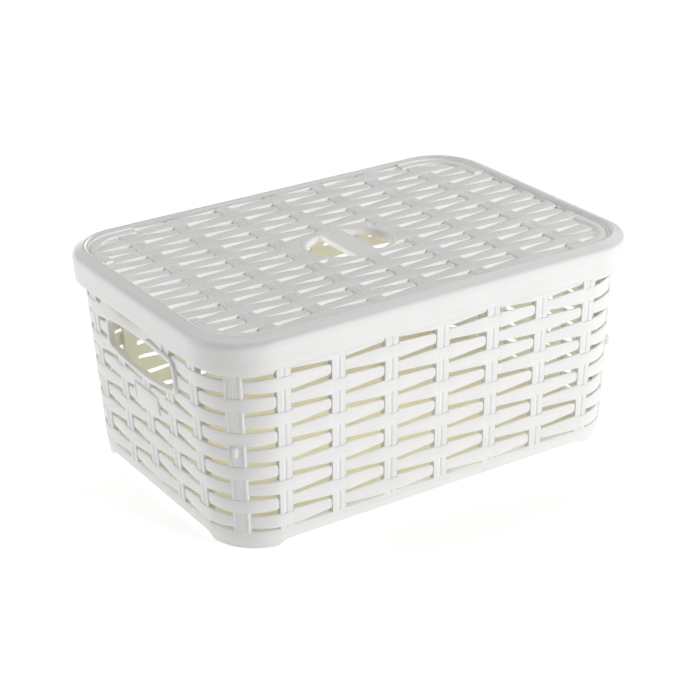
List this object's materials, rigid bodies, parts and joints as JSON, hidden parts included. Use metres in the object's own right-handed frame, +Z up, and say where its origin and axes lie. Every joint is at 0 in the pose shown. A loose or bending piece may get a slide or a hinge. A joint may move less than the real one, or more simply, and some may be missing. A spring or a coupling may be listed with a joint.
{
  "type": "lidded storage basket",
  "caption": "Rectangular openwork rattan-look plastic storage basket with rounded corners, hand holes in the ends, and a lift-off woven lid with an oval finger grip.",
  "frame": {"origin": "centre of the base, in the plane of the four feet", "axes": "+X along the long side, -Y out of the front wall, +Z up through the lid"},
  "size_m": [0.2908, 0.2038, 0.1319],
  "materials": {
    "basket_weave": "satin white polypropylene, moulded with fine draw lines along stakes and weavers",
    "basket_frame": "satin white polypropylene, smooth",
    "lid_weave": "satin white polypropylene, moulded with fine draw lines along stakes and weavers",
    "lid_frame": "satin white polypropylene, smooth"
  },
  "bodies": {
    "basket": {"front_wall": "basket_weave", "back_wall": "basket_weave", "left_end_wall": "basket_weave", "left_hand_hole_frame": "basket_frame", "left_tag_plate": "basket_frame", "right_end_wall": "basket_weave", "right_hand_hole_frame": "basket_frame", "right_tag_plate": "basket_frame", "front_left_corner": "basket_weave", "back_left_corner": "basket_weave", "front_right_corner": "basket_weave", "back_right_corner": "basket_weave", "basket_floor": "basket_frame", "basket_rim": "basket_frame"},
    "lid": {"lid_skirt": "lid_frame", "lid_rim": "lid_frame", "lid_panel_left": "lid_weave", "lid_panel_right": "lid_weave", "lid_panel_front": "lid_weave", "lid_panel_back": "lid_weave", "lid_grip_surround": "lid_weave", "lid_grip_ring": "lid_frame", "lid_grip_bar": "lid_frame"}
  },
  "joints": [
    {"name": "lid_lift", "type": "slide", "parent": "basket", "child": "lid", "axis": [0, 0, 1], "range_m": [0, 0.15]}
  ]
}
